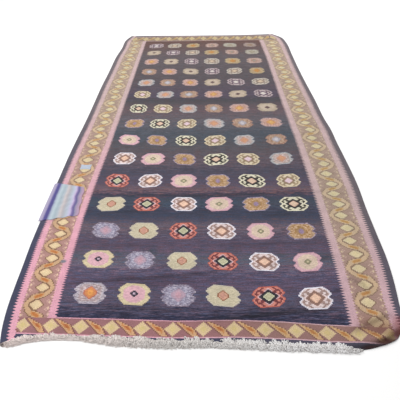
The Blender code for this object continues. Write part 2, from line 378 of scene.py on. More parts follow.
# The kinds step one column to the right in each nearer row. Chart (0 plain, 1 hooked,
# 2 target, 3 hazy), then edge, body, hooks, diamond's outline, diamond, heart, accent
KINDS = (
    (3, "#a095a3", "#a79ca3", "#ae9695", "#b66e5c", "#c98252", "#d59352", "#d1c7cd"),
    (2, "#c2b290", "#c9b998", "#cfa3ab", "#3f3741", "#38323d", "#bba4b4", "#d3c4bc"),
    (3, "#786a7d", "#7c748a", "#8e889d", "#a28a99", "#ae95a3", "#b8929d", "#aea6b3"),
    (0, "#bbb2a1", "#c0b59b", "#b39a6b", "#895840", "#c1947e", "#be8d7c", "#c7bfb6"),
    (1, "#b45f51", "#c78174", "#723a3d", "#2e2b33", "#c7c7a8", "#b2ad8f", "#cba9ae"),
    (1, "#dedbe5", "#d4c3c1", "#9b827b", "#88695d", "#dcb29b", "#e0bba3", "#e0c9c5"),
    (2, "#c597a4", "#cca5ac", "#cdb8a4", "#76745a", "#858066", "#c4b897", "#ccb2ac"),
    (3, "#887795", "#a47e4d", "#ae8241", "#9a7645", "#987a5b", "#917a92", "#b39665"),
    (1, "#d4ceb6", "#d0cab0", "#363430", "#2f2c2c", "#d0aa96", "#d0b49c", "#d4ceb8"),
    (1, "#ccbe9f", "#c8b89d", "#927f65", "#8a745d", "#ccb0b5", "#d2bac1", "#ccc4ab"),
    (3, "#8e969b", "#9e9a95", "#ae978c", "#b48b7b", "#bc8b70", "#c28f6c", "#a3a5ac"),
    (3, "#875d3d", "#946640", "#9c7750", "#938684", "#a09aa0", "#b6b0b4", "#a49487"),
    (3, "#9c807f", "#ae8676", "#b6866f", "#b88862", "#bc8a55", "#c49b5e", "#b69387"),
    (2, "#988b7c", "#a89884", "#b4a390", "#6f594f", "#554142", "#604343", "#b4a69e"),
    (1, "#b09fa3", "#ae9e9d", "#594552", "#5f4b5c", "#c1b5b2", "#c7bfb7", "#bcaeab"),
    (1, "#b7b2a7", "#b7ab9d", "#81746b", "#857366", "#bca691", "#c0ad93", "#c0b9a9"),
    (3, "#927f47", "#9e864b", "#a58647", "#a17a40", "#ab7b3e", "#b27b3c", "#a59558"),
    (3, "#917569", "#9f7f6d", "#a5816d", "#9b7566", "#957b6b", "#8d867b", "#a38873"),
    (3, "#8c8672", "#938d75", "#968f79", "#8f8671", "#918775", "#99907c", "#99927e"),
    (3, "#765f4f", "#7e6553", "#846b56", "#7e6956", "#866f5b", "#8a735d", "#846b57"),
)
# Tone of the field along the rug: row of medallions, colour
ABRASH = (
    (-1.20, "#2d2d42"), (-0.55, "#28293f"), (-0.25, "#524a5d"), (0.00, "#4c485a"),
    (0.30, "#53465a"), (0.60, "#4c475d"), (0.80, "#625263"), (1.05, "#4d525e"),
    (1.35, "#534557"), (1.75, "#4a4254"), (2.20, "#60525b"), (2.40, "#383a4d"),
    (2.66, "#2e3546"), (2.85, "#363448"), (2.98, "#3a4450"), (3.35, "#2e3447"),
    (3.54, "#563f4e"), (3.62, "#725755"), (3.72, "#4f4450"), (3.86, "#4c4253"),
    (4.40, "#3b3a49"), (4.90, "#51454e"), (5.60, "#48444a"), (6.30, "#3b434d"),
    (7.20, "#504c53"), (8.00, "#55444a"), (8.60, "#33373d"), (8.68, "#3b323b"),
    (8.80, "#423849"), (10.4, "#453e43"), (12.4, "#4c4449"), (15.0, "#553329"),
)
ABRASH_FROM, ABRASH_TO = -1.2, 15.4


def to_linear(code):
    """sRGB hex to linear light."""
    parts = [int(code[i:i + 2], 16) / 255 for i in (1, 3, 5)]
    light = [p / 12.92 if p <= 0.04045 else ((p + 0.055) / 1.055) ** 2.4 for p in parts]
    return (*light, 1.0)


def add(tree, kind, *inputs, out=0, **settings):
    """Adds one shader node: settings by name, inputs in socket order (a value, another
    node's output, or None to leave the socket). Returns its output number `out`."""
    made = tree.nodes.new("ShaderNode" + kind)
    for name, value in settings.items():
        setattr(made, name, value)
    for socket, value in zip([s for s in made.inputs if s.enabled], inputs):
        if isinstance(value, bpy.types.NodeSocket):
            tree.links.new(value, socket)
        elif value is not None:
            socket.default_value = value
    return [s for s in made.outputs if s.enabled][out]


def set_stops(tree, stops, mode):
    """Fills the newest node, a colour ramp, with (place, colour) stops."""
    ramp = tree.nodes[-1].color_ramp
    ramp.interpolation = mode
    while len(ramp.elements) > 1:
        ramp.elements.remove(ramp.elements[-1])
    for i, (place, colour) in enumerate(stops):
        stop = ramp.elements[0] if i == 0 else ramp.elements.new(place)
        stop.position = place
        stop.color = colour


def listed_colour(tree, number, colours):
    """The colour at a whole number in a list."""
    share = add(tree, "Math", number, 0.5, operation="ADD")
    share = add(tree, "Math", share, len(colours), operation="DIVIDE")
    colour = add(tree, "ValToRGB", share)
    set_stops(tree, [(i / len(colours), c) for i, c in enumerate(colours)], "CONSTANT")
    return colour


def listed_value(tree, number, values):
    """The value at a whole number in a list. A ramp holds no negative value, so they
    are stored one higher."""
    stored = listed_colour(tree, number, [(value + 1.0,) * 3 + (1.0,) for value in values])
    return add(tree, "Math", stored, 1.0, operation="SUBTRACT")


def chart_letter(tree, chart, letters, column, row):
    """Which letter of a woven chart is at a column and row: its place in `letters`, 0 for
    ground. Each chart row is packed as three numbers of eight base-8 digits."""
    packed = []
    for line in chart:
        digits = [max(letters.find(letter), 0) for letter in line.ljust(24)]
        banks = [sum(d * 8**i for i, d in enumerate(digits[b:b + 8])) for b in (0, 8, 16)]
        packed.append((*[float(bank) for bank in banks], 1.0))
    banks = add(tree, "SeparateColor", listed_colour(tree, row, packed))
    first, second, third = banks.node.outputs[:3]
    value = add(tree, "Mix", add(tree, "Math", column, 7.5, operation="GREATER_THAN"), first, second)
    value = add(tree, "Mix", add(tree, "Math", column, 15.5, operation="GREATER_THAN"), value, third)
    place = add(tree, "Math", 8.0, add(tree, "Math", column, 8.0, operation="FLOORED_MODULO"),
                operation="POWER")
    value = add(tree, "Math", add(tree, "Math", value, place, operation="DIVIDE"), operation="FLOOR")
    return add(tree, "Math", value, 8.0, operation="FLOORED_MODULO")


def blend_colour(tree, share, below, above):
    return add(tree, "Mix", share, below, above, data_type="RGBA")


def shaded(tree, colour, *shades):
    """A colour made darker or lighter by one or more factors."""
    for shade in shades:
        colour = add(tree, "VectorMath", colour, add(tree, "CombineXYZ", shade, shade, shade),
                     operation="MULTIPLY")
    return colour


def new_finish(name, roughness, sheen):
    """A material with a Principled surface. Wool and cotton keep the default IOR, are
    never glossy, and have the pale bloom of loose fibre at grazing angles."""
    finish = bpy.data.materials.new(name)
    finish.use_nodes = True
    surface = finish.node_tree.nodes["Principled BSDF"]
    surface.inputs["Roughness"].default_value = roughness
    surface.inputs["Specular IOR Level"].default_value = 0.15
    surface.inputs["Sheen Weight"].default_value = sheen
    surface.inputs["Sheen Roughness"].default_value = 0.6
    return finish, finish.node_tree, surface


wool, tree, wool_surface = new_finish("handwoven_wool", 0.95, 0.03)
place = add(tree, "TexCoord", out=3)
weave = add(tree, "UVMap", uv_map="weave")

# Hand weaving: lines wander by 2 to 3 mm over a hand's breadth.
wander = add(tree, "TexNoise", place, None, 8.0, 1.0, out=1)
wander = add(tree, "VectorMath", wander, (0.5, 0.5, 0.5), operation="SUBTRACT")
wander = add(tree, "VectorMath", wander, (0.012, 0.05, 0.0), operation="MULTIPLY")
warp_count = add(tree, "SeparateXYZ", add(tree, "VectorMath", weave, wander, operation="ADD"))
across_u, along_v = warp_count.node.outputs[:2]
from_middle = add(tree, "Math", across_u, operation="ABSOLUTE")


# Medallions: which column and row, and where in it, each with its own small error
def medallion_colour(tree):
    """Colour of the medallions, 1 where there is one, and 1 where it is of the hazy kind."""
    pitch = (COLUMN_PLACES[-1] - COLUMN_PLACES[0]) / (len(COLUMN_PLACES) - 1)
    column = add(tree, "Math", across_u, 1 / pitch, len(COLUMN_PLACES) / 2, operation="MULTIPLY_ADD")
    column = add(tree, "Math", column, operation="FLOOR")
    column = add(tree, "Clamp", column, 0.0, len(COLUMN_PLACES) - 1.0)
    row = add(tree, "Math", along_v, operation="ROUND")
    row = add(tree, "Clamp", row, 0.0, ROWS - 1.0)
    own = add(tree, "TexWhiteNoise", add(tree, "CombineXYZ", column, row, 3.0), out=1)
    own = add(tree, "SeparateXYZ", own)
    aside, size, lean = own.node.outputs[:3]
    x = add(tree, "Math", across_u, listed_value(tree, column, COLUMN_PLACES), operation="SUBTRACT")
    x = add(tree, "Math", aside, 0.008, x, operation="MULTIPLY_ADD")
    x = add(tree, "Math", x, 0.004, operation="SUBTRACT")
    y = add(tree, "Math", along_v, row, operation="SUBTRACT")
    lean = add(tree, "Math", add(tree, "Math", lean, 0.5, operation="SUBTRACT"), x, operation="MULTIPLY")
    y = add(tree, "Math", lean, 1.2, y, operation="MULTIPLY_ADD")
    step_x = add(tree, "Math", size, 0.0007, CELL - 0.0003, operation="MULTIPLY_ADD")
    x = add(tree, "Math", x, operation="ABSOLUTE")
    x = add(tree, "Math", add(tree, "Math", x, step_x, operation="DIVIDE"), operation="FLOOR")
    y = add(tree, "Math", add(tree, "Math", y, operation="ABSOLUTE"), ROW_CELL, operation="DIVIDE")
    y = add(tree, "Math", y, operation="FLOOR")
    kind = add(tree, "Math", column, row, operation="ADD")
    which = listed_value(tree, kind, [float(k[0]) for k in KINDS])
    second_bank = add(tree, "Math", which, 1.5, operation="GREATER_THAN")
    line = add(tree, "Math", which, 2.0, operation="FLOORED_MODULO")
    top = float(len(PLAIN_CHART))
    line = add(tree, "Math", line, top, add(tree, "Math", y, top - 1, operation="MINIMUM"),
               operation="MULTIPLY_ADD")
    first, second = [chart_letter(tree, bank, CHART_LETTERS, x, line) for bank in CHART_BANKS]
    letter = add(tree, "Mix", second_bank, first, second)
    inside = add(tree, "Math", y, top - 0.5, operation="LESS_THAN")
    letter = add(tree, "Math", letter, inside, operation="MULTIPLY")
    colour = None
    for number in range(1, len(CHART_LETTERS)):
        dyes = listed_colour(tree, kind, [to_linear(k[number]) for k in KINDS])
        here = add(tree, "Math", letter, number - 0.5, operation="GREATER_THAN")
        colour = dyes if colour is None else blend_colour(tree, here, colour, dyes)
    dashed = add(tree, "Math", which, 2.5, operation="GREATER_THAN")
    dashed = add(tree, "Math", dashed, add(tree, "Math", letter, 3.5, operation="LESS_THAN"),
                 operation="MULTIPLY")
    return colour, add(tree, "Math", letter, 0.5, operation="GREATER_THAN"), dashed


# The field's abrash: bands of yarn with ragged ends, streaks a few picks high, and
# mottling from yarn to yarn
def stretched_noise(tree, x_scale, y_scale, detail):
    """Noise on the cloth with its own scale (per metre) across and along."""
    stretched = add(tree, "Mapping", place, None, None, (x_scale, y_scale, 1.0))
    return add(tree, "TexNoise", stretched, None, 1.0, detail)


def spread(tree, noise, low, high):
    """Noise's middle half spread over a range."""
    return add(tree, "MapRange", noise, 0.33, 0.67, low, high)


streaks = stretched_noise(tree, 5.0, 55.0, 2.0)
bands = stretched_noise(tree, 1.3, 14.0, 2.0)
fine_streaks = stretched_noise(tree, 14.0, 420.0, 2.0)
blotches = add(tree, "TexNoise", place, None, 26.0, 4.0)
speckle = add(tree, "TexNoise", place, None, 120.0, 2.0)
ragged = add(tree, "Math", streaks, 0.9, along_v, operation="MULTIPLY_ADD")
ragged = add(tree, "Math", bands, 0.7, ragged, operation="MULTIPLY_ADD")
ragged = add(tree, "Math", ragged, 0.8, operation="SUBTRACT")
ragged = add(tree, "MapRange", ragged, ABRASH_FROM, ABRASH_TO, 0.0, 1.0)
field = add(tree, "ValToRGB", ragged)
set_stops(
    tree,
    [((v - ABRASH_FROM) / (ABRASH_TO - ABRASH_FROM), to_linear(c)) for v, c in ABRASH],
    "LINEAR",
)
mottle = stretched_noise(tree, 16.0, 34.0, 4.0)
field = shaded(tree, field, spread(tree, streaks, 0.76, 1.24), spread(tree, bands, 0.80, 1.20),
               spread(tree, mottle, 0.74, 1.26), spread(tree, blotches, 0.86, 1.14))
uneven = add(tree, "ValToRGB", stretched_noise(tree, 2.5, 20.0, 3.0))
set_stops(tree, [(0.36, (1.22, 0.98, 0.94, 1.0)), (0.50, (1.0, 1.0, 1.0, 1.0)),
                 (0.64, (0.84, 1.04, 1.14, 1.0))], "LINEAR")
field = add(tree, "VectorMath", field, uneven, operation="MULTIPLY")
medallions, is_medallion, dashed = medallion_colour(tree)
# The hazy kinds are woven in dashes of odd yarn ends, 18 mm long and 8 mm high.
dashes = stretched_noise(tree, 13.0, 34.0, 1.0)
yarn_ends = add(tree, "ValToRGB", dashes)
set_stops(tree, [(0.36, to_linear("#5c4a52")), (0.45, to_linear("#8c7670")), (0.50, to_linear("#7f88a4")),
                 (0.56, to_linear("#dcd8e0")), (0.66, to_linear("#f6ece6"))], "LINEAR")
odd_share = add(tree, "Math", dashed, 0.24, operation="MULTIPLY")
medallions = blend_colour(tree, odd_share, medallions, yarn_ends)
medallions = shaded(tree, medallions, spread(tree, speckle, 0.80, 1.14), spread(tree, dashes, 0.80, 1.16),
                    spread(tree, blotches, 0.90, 1.08))
colour = blend_colour(tree, is_medallion, field, medallions)

# Borders
# Two pink stripes with comb-toothed edges hold the side border, a ribbon that swings from
# side to side round stepped flowers. The ends have flowers and leaning leaves by turns.
INNER_STRIPE = 0.631
SIDE_BORDER = 0.757
OUTER_STRIPE = 0.787
TOOTH_LEFT, TOOTH_RIGHT = 0.0150, 0.0190
TEETH_PER_ROW = 15.0
BORDER_LETTERS = ".brodcys"
# ground, b olive-brown shade, r ribbon, o orange, d deep orange, c cream, y yellow, s sprig
SIDE_DYES_NEAR = ("#a67f78", "#7e5f4a", "#c39f7c", "#c48d5c", "#b87440", "#d8bc96", "#dcc49c", "#c9a296")
SIDE_DYES_FAR = ("#9c8678", "#8a7664", "#bca68a", "#b89c70", "#aa8856", "#c4b898", "#c6b890", "#b39c8c")
END_DYES_NEAR = ("#94686a", "#7d5448", "#c79c76", "#bf8452", "#a9623a", "#d2b890", "#d0ba84", "#b88a88")
END_DYES_FAR = ("#857060", "#6c5a4c", "#b39a72", "#b0925c", "#a8844c", "#b9a680", "#b8a474", "#9c8872")
RIBBON_CHART = (
    ".rrrbccyyyyyccb.....",
    ".rrrbbccyyyccb....s.",
    ".brrrbbccyccb....sy.",
    "..rrrrbbcccb....s.s.",
    "..brrrrbbbb......s..",
    "..brrrrorrbb........",
    "...brrroddorrb.....s",
    "....brroddddorrb..sy",
    "ys...brroddddorrb..s",
    "s.....bbrroddorrb...",
    "........bbrrorrrrb..",
    "..s......bbbbrrrrb..",
    ".s.s....bcccbbrrrr..",
    ".ys....bccyccbbrrrb.",
    ".s....bccyyyccbbrrr.",
    ".....bccyyyyyccbrrr.",
)
RIBBON_HALF = 0.435
RIBBON_PHASE_LEFT, RIBBON_PHASE_RIGHT = 0.1075, -0.0635
END_CHART = (
    "....................",
    ".....c.brrb.........",
    "....ccc.brrrb.......",
    "...ccccc.brrorb.....",
    "..cccyccc.broorrb...",
    ".cccyyyccc.broddorb.",
    "cccyyyyyccc.broddorb",
    "bcccyyyccc...broddor",
    "b.cccyccc.....brroor",
    "rb.ccccc.......brror",
    "rb..ccc.........brrr",
    "rrb..c...........brr",
    "....................",
)
END_PERIOD, END_PHASE = 0.1228, -0.644
NEAR_LINE, FAR_LINE = -0.594, 14.660
END_DEPTH, FAR_END_DEPTH = 0.342, 0.62
PINK_LEFT, PINK_RIGHT, PINK_FAR = "#d99fae", "#cfa3b0", "#bda3a2"
NAVY_NEAR, NAVY_FAR = "#404258", "#625a60"

on_right = add(tree, "MapRange", across_u, -0.3, 0.3, 0.0, 1.0)
far_share = add(tree, "Math", on_right, 5.0, along_v, operation="MULTIPLY_ADD")
far_share = add(tree, "MapRange", far_share, 1.5, 8.0, 0.0, 1.0)
pink = blend_colour(tree, on_right, to_linear(PINK_LEFT), to_linear(PINK_RIGHT))
pink = blend_colour(tree, far_share, pink, to_linear(PINK_FAR))
navy = blend_colour(tree, far_share, to_linear(NAVY_NEAR), to_linear(NAVY_FAR))
tooth = add(tree, "Math", along_v, TEETH_PER_ROW, operation="MULTIPLY")
tooth = add(tree, "Math", tooth, 0.5, operation="PINGPONG")


def border_colour(tree, letter, dyes_near, dyes_far):
    """The border dyes of a letter: rosy at the near end, faded to tan at the far one."""
    near = listed_colour(tree, letter, [to_linear(c) for c in dyes_near])
    far = listed_colour(tree, letter, [to_linear(c) for c in dyes_far])
    return blend_colour(tree, far_share, near, far)


def ribbon_colour(tree):
    """Half of the ribbon's swing is charted, and every second half is turned over."""
    on_right = add(tree, "Math", across_u, 0.0, operation="GREATER_THAN")
    phase = add(tree, "Mix", on_right, RIBBON_PHASE_LEFT, RIBBON_PHASE_RIGHT)
    swing = add(tree, "Math", along_v, phase, operation="SUBTRACT")
    swing = add(tree, "Math", swing, RIBBON_HALF, operation="DIVIDE")
    half = add(tree, "Math", swing, operation="FLOOR")
    row = add(tree, "Math", swing, half, operation="SUBTRACT")
    row = add(tree, "Math", row, -float(len(RIBBON_CHART)), float(len(RIBBON_CHART)),
              operation="MULTIPLY_ADD")
    row = add(tree, "Math", row, operation="FLOOR")
    width = (SIDE_BORDER - INNER_STRIPE) / len(RIBBON_CHART[0])
    column = add(tree, "Math", from_middle, INNER_STRIPE, operation="SUBTRACT")
    column = add(tree, "Math", add(tree, "Math", column, width, operation="DIVIDE"), operation="FLOOR")
    turned = add(tree, "Math", len(RIBBON_CHART[0]) - 1.0, column, operation="SUBTRACT")
    odd = add(tree, "Math", half, 2.0, operation="FLOORED_MODULO")
    column = add(tree, "Mix", odd, turned, column)
    letter = chart_letter(tree, RIBBON_CHART, BORDER_LETTERS, column, row)
    return border_colour(tree, letter, SIDE_DYES_NEAR, SIDE_DYES_FAR)


def end_border_colour(tree, depth):
    """Flowers and leaves by turns, drawn from the field outwards at both ends."""
    row = add(tree, "Math", depth, len(END_CHART) / END_DEPTH, operation="MULTIPLY")
    row = add(tree, "Math", row, operation="FLOOR")
    repeat = add(tree, "Math", across_u, END_PHASE, operation="SUBTRACT")
    repeat = add(tree, "Math", repeat, END_PERIOD, operation="DIVIDE")
    column = add(tree, "Math", repeat, operation="FRACT")
    column = add(tree, "Math", column, float(len(END_CHART[0])), operation="MULTIPLY")
    column = add(tree, "Math", column, operation="FLOOR")
    letter = chart_letter(tree, END_CHART, BORDER_LETTERS, column, row)
    return border_colour(tree, letter, END_DYES_NEAR, END_DYES_FAR)


def over(tree, colour, value, limit, above):
    """Lays a colour over another where a value passes a limit."""
    here = add(tree, "Math", value, limit, operation="GREATER_THAN")
    return blend_colour(tree, here, colour, above)


near_depth = add(tree, "Math", NEAR_LINE, along_v, operation="SUBTRACT")
far_depth = add(tree, "Math", along_v, FAR_LINE, operation="SUBTRACT")
far_depth = add(tree, "Math", far_depth, END_DEPTH / FAR_END_DEPTH, operation="MULTIPLY")
end_depth = add(tree, "Math", near_depth, far_depth, operation="MAXIMUM")
long_tooth = add(tree, "Mix", on_right, 2 * TOOTH_LEFT, 2 * TOOTH_RIGHT)
long_tooth = add(tree, "Math", tooth, long_tooth, operation="MULTIPLY")
toothed_in = add(tree, "Math", from_middle, long_tooth, operation="ADD")
toothed_out = add(tree, "Math", from_middle, long_tooth, operation="SUBTRACT")
small_tooth = add(tree, "Math", tooth, 0.018, from_middle, operation="MULTIPLY_ADD")
border = over(tree, colour, toothed_in, FIELD_HALF + 0.009, pink)
border = over(tree, border, small_tooth, INNER_STRIPE + 0.005, ribbon_colour(tree))
inside_line = add(tree, "Math", from_middle, INNER_STRIPE, operation="LESS_THAN")
line_depth = add(tree, "Math", end_depth, add(tree, "Math", inside_line, 0.02, operation="MULTIPLY"),
                 operation="ADD")
border = over(tree, border, line_depth, 0.015, pink)
border = over(tree, border, end_depth, 0.012, end_border_colour(tree, end_depth))
border = over(tree, border, end_depth, END_DEPTH - 0.012, pink)
border = over(tree, border, end_depth, END_DEPTH + 0.010, navy)
border = over(tree, border, small_tooth, SIDE_BORDER + 0.005, pink)
border = over(tree, border, toothed_out, OUTER_STRIPE - 0.007, navy)
border = shaded(tree, border, spread(tree, speckle, 0.86, 1.08), spread(tree, blotches, 0.87, 1.09),
                spread(tree, mottle, 0.88, 1.08))
in_border = add(tree, "Math", toothed_in, FIELD_HALF + 0.009, operation="GREATER_THAN")
in_ends = add(tree, "Math", line_depth, 0.015, operation="GREATER_THAN")
in_border = add(tree, "Math", in_border, in_ends, operation="MAXIMUM")
colour = blend_colour(tree, in_border, colour, border)

# Age: dye that took unevenly, a pale grey that grows towards the far end, rusty stains in the turned corner
# and a grey-blue darn on the inner stripe. Painted shade: dark lines along the creases, and a dark band along
# the edge of the turned-under corner.
# Each stain: its middle (x, y), its size, its colour and its strength. The second, third and fourth are
# painted shade, not stains: a dark band along the edge of the turned-under corner.
STAINS_AND_EDGE_SHADE = (
    ((0.780, -0.165), (0.040, 0.055), "#7a2c26", 0.50),
    ((0.640, -0.270), (0.050, 0.018), "#2e1a18", 0.85),
    ((0.705, -0.243), (0.050, 0.022), "#3a1e1a", 0.85),
    ((0.765, -0.205), (0.045, 0.028), "#46201c", 0.80),
    ((0.730, -0.190), (0.090, 0.045), "#5e2c22", 0.40),
    ((0.660, -0.160), (0.080, 0.060), "#7a5240", 0.35),
)
DARN_AT, DARN_SIZE = (-0.637, 0.190), (0.017, 0.012)
clouds = add(tree, "TexNoise", place, None, 2.3, 3.0)
colour = shaded(tree, colour, spread(tree, fine_streaks, 0.90, 1.10), spread(tree, clouds, 0.93, 1.07))
# Painted shade: the colour is darkened along each crease's line, to about a quarter at the deepest, and less
# on the medallions
crease_shade = add(tree, "Attribute", out=2, attribute_name="crease")
spared = add(tree, "Math", is_medallion, -0.75, 1.0, operation="MULTIPLY_ADD")
crease_shade = add(tree, "Math", crease_shade, spared, operation="MULTIPLY")
colour = shaded(tree, colour, add(tree, "MapRange", crease_shade, 0.0, 1.25, 1.0, 0.26))
# The colour is blended a little towards pale grey, more and more towards the far end
far_paling = add(tree, "MapRange", along_v, 0.0, 15.0, 0.01, 0.06)
colour = blend_colour(tree, far_paling, colour, to_linear("#c4b8b0"))


def near_spot(tree, centre, size):
    """1 at a spot's middle, falling to 0 at its ragged rim."""
    offset = [-(centre[i] + plan_shift[i]) / size[i] for i in (0, 1)]
    spot = add(tree, "Mapping", place, (*offset, 0.0), None, (1 / size[0], 1 / size[1], 0.0))
    distance = add(tree, "VectorMath", spot, operation="LENGTH", out=0)
    distance = add(tree, "Math", blotches, 0.8, distance, operation="MULTIPLY_ADD")
    return add(tree, "MapRange", distance, 0.9, 1.5, 1.0, 0.0)


# Rusty stains, and painted shade along the turned corner's edge, blended over the colour
for centre, size, dye, strength in STAINS_AND_EDGE_SHADE:
    stain_and_edge_shade = add(tree, "Math", near_spot(tree, centre, size), strength, operation="MULTIPLY")
    colour = blend_colour(tree, stain_and_edge_shade, colour, to_linear(dye))
colour = blend_colour(tree, near_spot(tree, DARN_AT, DARN_SIZE), colour, to_linear("#77767f"))
# Lint: white specks of loose wool, 4 mm across and a hand's breadth apart
lint = add(tree, "TexVoronoi", place, None, 8.0, voronoi_dimensions="3D")
lint = add(tree, "MapRange", lint, 0.016, 0.024, 0.75, 0.0)
colour = blend_colour(tree, lint, colour, to_linear("#d8d8dc"))
tree.links.new(colour, wool_surface.inputs["Base Color"])

# Relief: warp ribs every 2.8 mm along the rug, with the weft beaten down over them
RIB = 0.0028
rib_x = add(tree, "SeparateXYZ", place)
ribs = add(tree, "Math", rib_x.node.outputs[0], 2 * math.pi / RIB, operation="MULTIPLY")
ribs = add(tree, "Math", ribs, operation="SINE")
relief = add(tree, "Math", ribs, 0.35, fine_streaks, operation="MULTIPLY_ADD")
relief = add(tree, "Math", blotches, 0.8, relief, operation="MULTIPLY_ADD")
bump = add(tree, "Bump", 0.55, 0.0009, None, relief)
tree.links.new(bump, wool_surface.inputs["Normal"])

cloth.data.materials.append(wool)
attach(cloth, "root")
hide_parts("kilim_cloth")

# The fringe
# The warp ends of the near end, cut short and never knotted. Years of walking have felted
# them into a lumpy off-white mat. Loose yarns lie along it, and tufts stand up over the cloth.
FRINGE_FROM, FRINGE_TO = -0.768, 0.600
FRINGE_LENGTH = (  # x, how far the mat reaches out of the cloth
    (-0.764, 0.030), (-0.670, 0.022), (-0.575, 0.016), (-0.470, 0.017),
    (-0.400, 0.026), (-0.325, 0.036), (-0.140, 0.036), (0.020, 0.024),
    (0.250, 0.026), (0.410, 0.027), (0.530, 0.024), (0.600, 0.012),
)
MAT_ALONG, MAT_ACROSS = 1500, 16
YARNS, YARN_STEPS, YARN_RADIUS = 1100, 12, 0.0014
TUFTS, TUFT_YARNS, TUFT_STEPS = 74, 10, 14


def near_edge_at(x):
    """The cloth's near edge at each x, the level way out of it, and the way along it."""
    curve = edge_curve(NEAR_EDGE, np.linspace(0.0, 1.0, 400))
    y = np.interp(x, curve[:, 0], curve[:, 1])
    slope = np.interp(x, curve[:, 0], np.gradient(curve[:, 1], curve[:, 0]))
    size = np.sqrt(1 + slope**2)
    out = np.stack([slope / size, -1 / size], axis=-1)
    return np.stack([x, y], axis=-1), out, np.stack([-out[..., 1], out[..., 0]], axis=-1)


def fringe_reach(x):
    named = np.array(FRINGE_LENGTH)
    return np.interp(x, named[:, 0], named[:, 1])


def lumps(x, y, step, seed):
    """Smooth noise from -1 to 1: products of sines whose lengths are not multiples."""
    a = np.sin(x / step * 6.1 + seed) * np.cos(y / step * 4.3 - 1.7 * seed)
    b = np.sin(x / step * 13.7 - 2.1 * seed + 2.0 * a) * np.cos(y / step * 9.1 + seed)
    return 0.6 * a + 0.4 * b


def carried_yarns(name, paths, radius):
    """Three-sided yarns: a triangle carried along each path, and closed at both ends.
    Paths are (yarns, steps, 3) and the radius is (yarns, steps)."""
    count, steps = radius.shape
    run = np.gradient(paths, axis=1)
    run /= np.linalg.norm(run, axis=2, keepdims=True) + 1e-9
    side = np.cross(run, (0.13, 0.11, 0.985))
    side /= np.linalg.norm(side, axis=2, keepdims=True) + 1e-9
    above = np.cross(side, run)
    turn = np.arange(3) * 2 * np.pi / 3 + np.pi / 2
    ring = np.cos(turn)[:, None] * side[:, :, None] + np.sin(turn)[:, None] * above[:, :, None]
    points = paths[:, :, None] + ring * radius[:, :, None, None]
    first = (np.arange(count)[:, None] * steps + np.arange(steps - 1)).ravel()[:, None] * 3
    here, after = np.arange(3), (np.arange(3) + 1) % 3
    walls = np.stack([first + here, first + after, first + 3 + after, first + 3 + here], axis=-1)
    root = np.arange(count)[:, None] * steps * 3
    ends = np.concatenate([root + [2, 1, 0], root + (steps - 1) * 3 + [0, 1, 2]])
    mesh = bpy.data.meshes.new(name)
    mesh.from_pydata(points.reshape(-1, 3).tolist(), [], walls.reshape(-1, 4).tolist() + ends.tolist())
    mesh.polygons.foreach_set("use_smooth", [True] * len(mesh.polygons))
    piece = bpy.data.objects.new(name, mesh)
    bpy.context.scene.collection.objects.link(piece)
    return piece


# The mat laps a few millimetres onto the cloth in places, is highest at the cloth's edge
# and thins out to the floor in a ragged line
share = np.linspace(0.0, 1.0, MAT_ALONG + 1)[:, None]
mat_x = FRINGE_FROM + (FRINGE_TO - FRINGE_FROM) * share
ends = np.clip(np.minimum(share, 1 - share) * 30, 0.0, 1.0) ** 0.5
root, out, aside = near_edge_at(mat_x)
reach = fringe_reach(mat_x) * (0.86 + 0.10 * lumps(mat_x, 0.0, 0.043, 0.4)) * (0.35 + 0.65 * ends)
reach = reach + 0.0024 * lumps(mat_x, 0.0, 0.013, 2.2) + 0.0012 * lumps(mat_x, 0.0, 0.006, 1.2)
lap = (0.0012 + 0.0055 * np.clip(lumps(mat_x, 0.0, 0.030, 4.0), -0.1, 1.0) ** 1.0) * ends
lap = lap + 0.0015 * lumps(mat_x, 0.0, 0.009, 0.7)
level = 0.5 - 0.5 * np.cos(np.pi * np.linspace(1.0, 0.0, MAT_ACROSS + 1)[None, :])
mat_out = -lap + (reach + lap) * level
beyond = np.clip(mat_out / reach, 0.0, 1.0)
mat_z = 0.0034 + 0.0042 * np.sin(np.pi * np.clip(0.5 * (1 + mat_out / (lap + 1e-3)), 0.0, 0.5)) * ends
mat_z = mat_z * (1 - beyond**1.7) * (1 + 0.42 * lumps(mat_x, 1.6 * mat_out, 0.015, 1.1)) + 0.0007
mat_plan = root + out * mat_out[..., None]
mat = new_piece(
    "fringe_mat",
    np.concatenate([mat_plan, mat_z[..., None]], axis=-1) + plan_shift,
    grid_faces(MAT_ALONG + 1, MAT_ACROSS + 1),
)
thicken(mat, 0.0005)
give_uv(mat, "mat", np.stack([mat_x + 0.0 * level, level + 0.0 * mat_x], axis=-1))

# Loose yarns lie more along the mat than out of it
random = np.random.default_rng(7)
yarn_x = np.sort(random.uniform(FRINGE_FROM + 0.006, FRINGE_TO - 0.012, YARNS))[:, None]
step = np.linspace(0.0, 1.0, YARN_STEPS)[None, :]
root, out, aside = near_edge_at(yarn_x)
taper = np.clip(np.minimum(yarn_x - FRINGE_FROM, FRINGE_TO - yarn_x) / 0.03, 0.2, 1.0)
start = random.uniform(-0.004, 0.016, (YARNS, 1)) * taper
length = fringe_reach(yarn_x) * random.uniform(0.45, 1.06, (YARNS, 1)) * taper
length = np.maximum(length, start)
sideways = 0.016 * lumps(yarn_x, 0.0, 0.07, 3.0) + random.normal(0.0, 0.014, (YARNS, 1))
wave = random.uniform(0.0010, 0.0034, (YARNS, 1)) * np.sin(
    random.uniform(5.0, 14.0, (YARNS, 1)) * step + random.uniform(0.0, 6.3, (YARNS, 1)))
yarn_out = start + (length - start) * (1 - (1 - step) ** 1.6) + 0.6 * wave * step
yarn_aside = sideways * taper * step**1.1 + wave * step
crest = random.uniform(0.0050, 0.0100, (YARNS, 1))
yarn_z = crest * (1 - np.clip(yarn_out / fringe_reach(yarn_x), 0.0, 1.0) ** 1.8) + 0.0013
